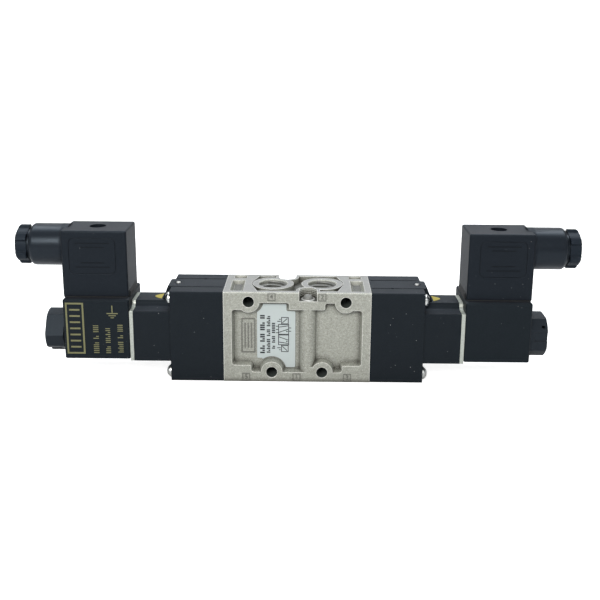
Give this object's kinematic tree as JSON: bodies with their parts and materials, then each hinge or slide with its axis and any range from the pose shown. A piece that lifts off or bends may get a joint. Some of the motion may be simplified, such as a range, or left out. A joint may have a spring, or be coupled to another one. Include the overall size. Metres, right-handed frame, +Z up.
{
  "type": "solenoid directional valve",
  "caption": "Pilot-operated spool valve with a cast body, threaded top ports, black end caps, an electric coil at each end and plug connectors with cable glands.",
  "frame": {"origin": "centre of the valve body's bottom face", "axes": "+X along the spool towards the right-hand coil, +Y towards the back, +Z up out of the two outlet ports"},
  "size_m": [0.2606, 0.03, 0.0716],
  "materials": {
    "cast_body": "shot-blasted casting with milled port faces",
    "cap_plastic": "glass-filled nylon, fine mould texture",
    "coil_plastic": "moulded epoxy, satin",
    "connector_plastic": "moulded nylon, satin",
    "zinc_plate": "zinc-plated pressed steel",
    "zinc_screw": "bright zinc plating",
    "machined_steel": "ground stainless steel",
    "spool_aluminium": "turned and anodised",
    "piston_plastic": "moulded acetal",
    "seal_rubber": "nitrile rubber",
    "brass": "turned brass",
    "tinned": "tinned blades",
    "copper_wire": "enamelled winding",
    "bobbin_plastic": "black nylon",
    "spring_steel": "spring wire",
    "label_film": "printed polyester film",
    "mark_yellow": "yellow marking"
  },
  "bodies": {
    "valve": {"valve_body": "cast_body", "end_cap_gaskets": "seal_rubber", "pilot_gaskets": "seal_rubber", "tube_orings": "seal_rubber", "coil_nut_seals": "seal_rubber", "label_plate": "label_film", "end_cap_screws": "zinc_screw", "pilot_screws": "zinc_screw", "connector_screws": "zinc_screw", "pilot_seats": "brass", "coil_windings": "copper_wire", "coil_bobbins": "bobbin_plastic", "override_bushes": "cap_plastic", "end_cap_left": "cap_plastic", "end_cap_right": "cap_plastic", "pilot_block_left": "cap_plastic", "pilot_block_right": "cap_plastic", "yoke_plate_left": "zinc_plate", "yoke_plate_right": "zinc_plate", "plug_balls": "machined_steel", "armature_tube_left": "machined_steel", "armature_tube_right": "machined_steel", "connector_gasket_left": "seal_rubber", "connector_gasket_right": "seal_rubber", "gland_grommet_left": "seal_rubber", "gland_grommet_right": "seal_rubber", "plunger_spring_left": "spring_steel", "plunger_spring_right": "spring_steel", "override_spring_left": "spring_steel", "override_spring_right": "spring_steel", "coil_left": "coil_plastic", "coil_right": "coil_plastic", "coil_nut_left": "coil_plastic", "coil_nut_right": "coil_plastic", "coil_terminals_left": "tinned", "coil_terminals_right": "tinned", "connector_housing_left": "connector_plastic", "connector_housing_right": "connector_plastic", "connector_insert_left": "connector_plastic", "connector_insert_right": "connector_plastic", "pilot_mark_left": "mark_yellow", "pilot_mark_right": "mark_yellow"},
    "spool_assembly": {"spool": "spool_aluminium", "spool_seals": "seal_rubber", "piston_left": "piston_plastic", "piston_right": "piston_plastic", "piston_seal_left": "seal_rubber", "piston_seal_right": "seal_rubber"},
    "armature_right": {"plunger_right": "machined_steel", "plunger_pad_right": "seal_rubber"},
    "override_right": {"override_pin_right": "machined_steel", "override_oring_right": "seal_rubber"},
    "gland_slide_right": {"gland_washer_right": "zinc_plate"},
    "gland_turn_right": {"gland_nut_right": "connector_plastic"},
    "armature_left": {"plunger_left": "machined_steel", "plunger_pad_left": "seal_rubber"},
    "override_left": {"override_pin_left": "machined_steel", "override_oring_left": "seal_rubber"},
    "gland_slide_left": {"gland_washer_left": "zinc_plate"},
    "gland_turn_left": {"gland_nut_left": "connector_plastic"}
  },
  "joints": [
    {"name": "spool_shift", "type": "slide", "parent": "valve", "child": "spool_assembly", "axis": [1, 0, 0], "range_m": [0, 0.0045]},
    {"name": "armature_lift_right", "type": "slide", "parent": "valve", "child": "armature_right", "axis": [1, 0, 0], "range_m": [0, 0.001], "stiffness_N_per_m": 900, "springref_m": -0.003, "deforming": ["plunger_spring_right"]},
    {"name": "override_push_right", "type": "slide", "parent": "valve", "child": "override_right", "axis": [0, 0, -1], "range_m": [0, 0.0012], "stiffness_N_per_m": 1200, "springref_m": -0.001, "deforming": ["override_spring_right"]},
    {"name": "gland_back_off_right", "type": "slide", "parent": "valve", "child": "gland_slide_right", "axis": [1, 0, 0], "range_m": [0, 0.0015]},
    {"name": "gland_unscrew_right", "type": "hinge", "parent": "gland_slide_right", "child": "gland_turn_right", "pos_m": [0.1278, 0, 0.0618], "axis": [1, 0, 0], "range_deg": [0, 360]},
    {"name": "armature_lift_left", "type": "slide", "parent": "valve", "child": "armature_left", "axis": [-1, 0, 0], "range_m": [0, 0.001], "stiffness_N_per_m": 900, "springref_m": -0.003, "deforming": ["plunger_spring_left"]},
    {"name": "override_push_left", "type": "slide", "parent": "valve", "child": "override_left", "axis": [0, 0, -1], "range_m": [0, 0.0012], "stiffness_N_per_m": 1200, "springref_m": -0.001, "deforming": ["override_spring_left"]},
    {"name": "gland_back_off_left", "type": "slide", "parent": "valve", "child": "gland_slide_left", "axis": [-1, 0, 0], "range_m": [0, 0.0015]},
    {"name": "gland_unscrew_left", "type": "hinge", "parent": "gland_slide_left", "child": "gland_turn_left", "pos_m": [-0.1278, 0, 0.0618], "axis": [-1, 0, 0], "range_deg": [0, 360]}
  ],
  "couplings": [
    {"joint": "gland_unscrew_right", "follows": "gland_back_off_right", "rad_per_m": 4188},
    {"joint": "gland_unscrew_left", "follows": "gland_back_off_left", "rad_per_m": 4188}
  ]
}
